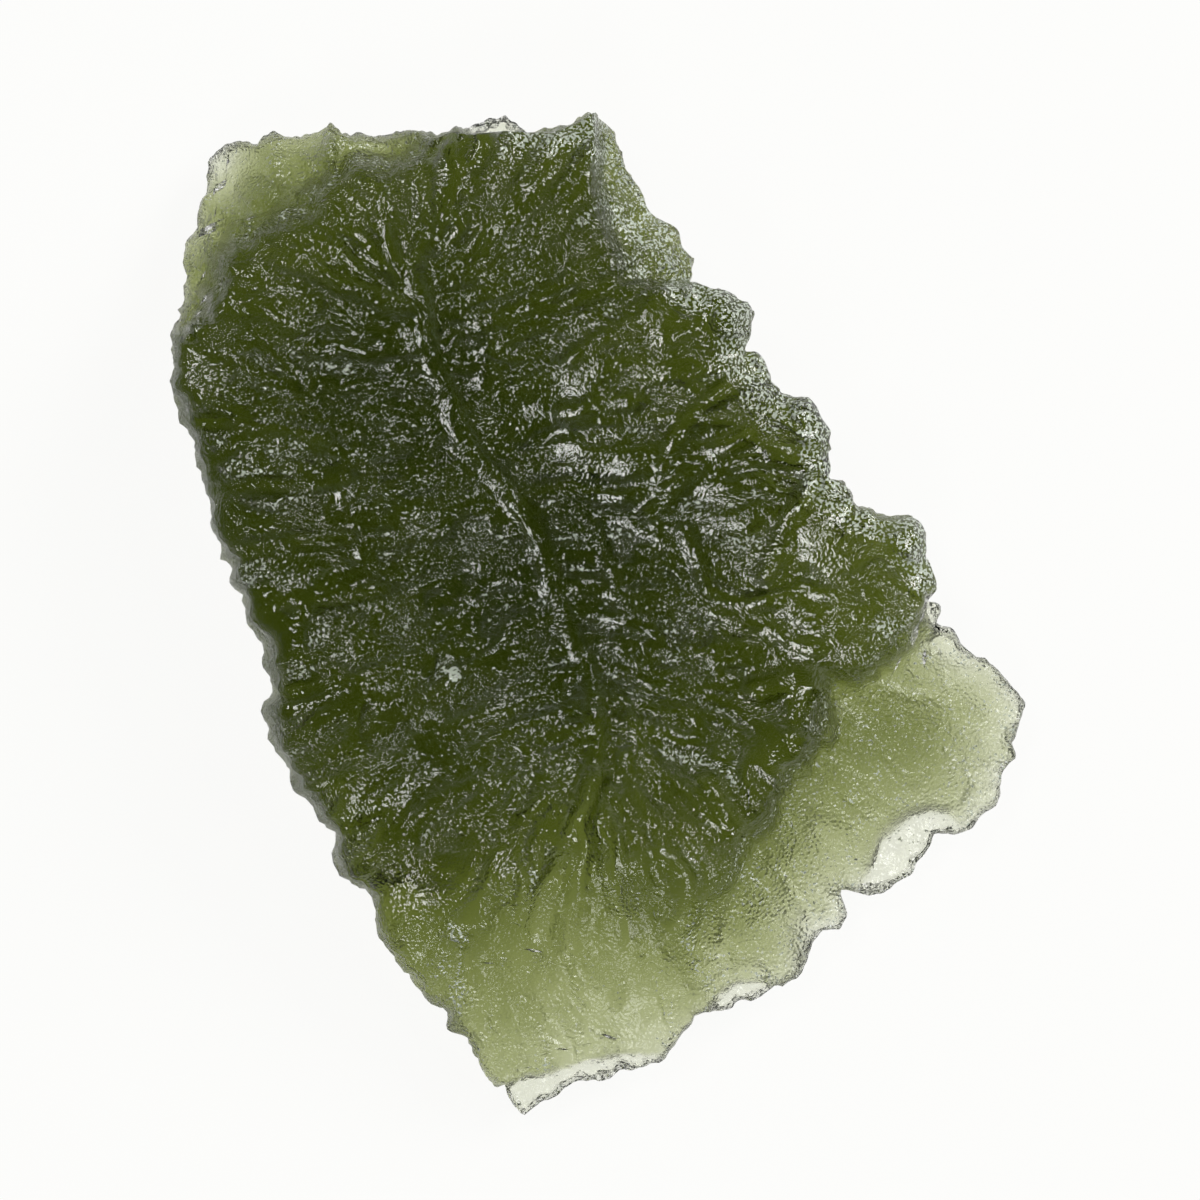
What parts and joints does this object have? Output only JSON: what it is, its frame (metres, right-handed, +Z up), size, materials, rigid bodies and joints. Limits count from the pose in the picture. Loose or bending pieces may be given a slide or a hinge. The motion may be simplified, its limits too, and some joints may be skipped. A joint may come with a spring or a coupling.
{
  "type": "moldavite",
  "caption": "Flat raw piece of natural green glass with an etched, leaf-veined face, notched steep sides and thin broken shelves.",
  "frame": {"origin": "centre of the bounding box in X and Y, on the surface that the stone rests on", "axes": "+Z up out of the etched face, +Y along the length towards the straight broad end, +X towards the side with the thin lower shelf"},
  "size_m": [0.0306, 0.036, 0.0074],
  "materials": {
    "moldavite_glass": "etched natural glass"
  },
  "bodies": {
    "root": {"moldavite": "moldavite_glass"}
  },
  "joints": []
}
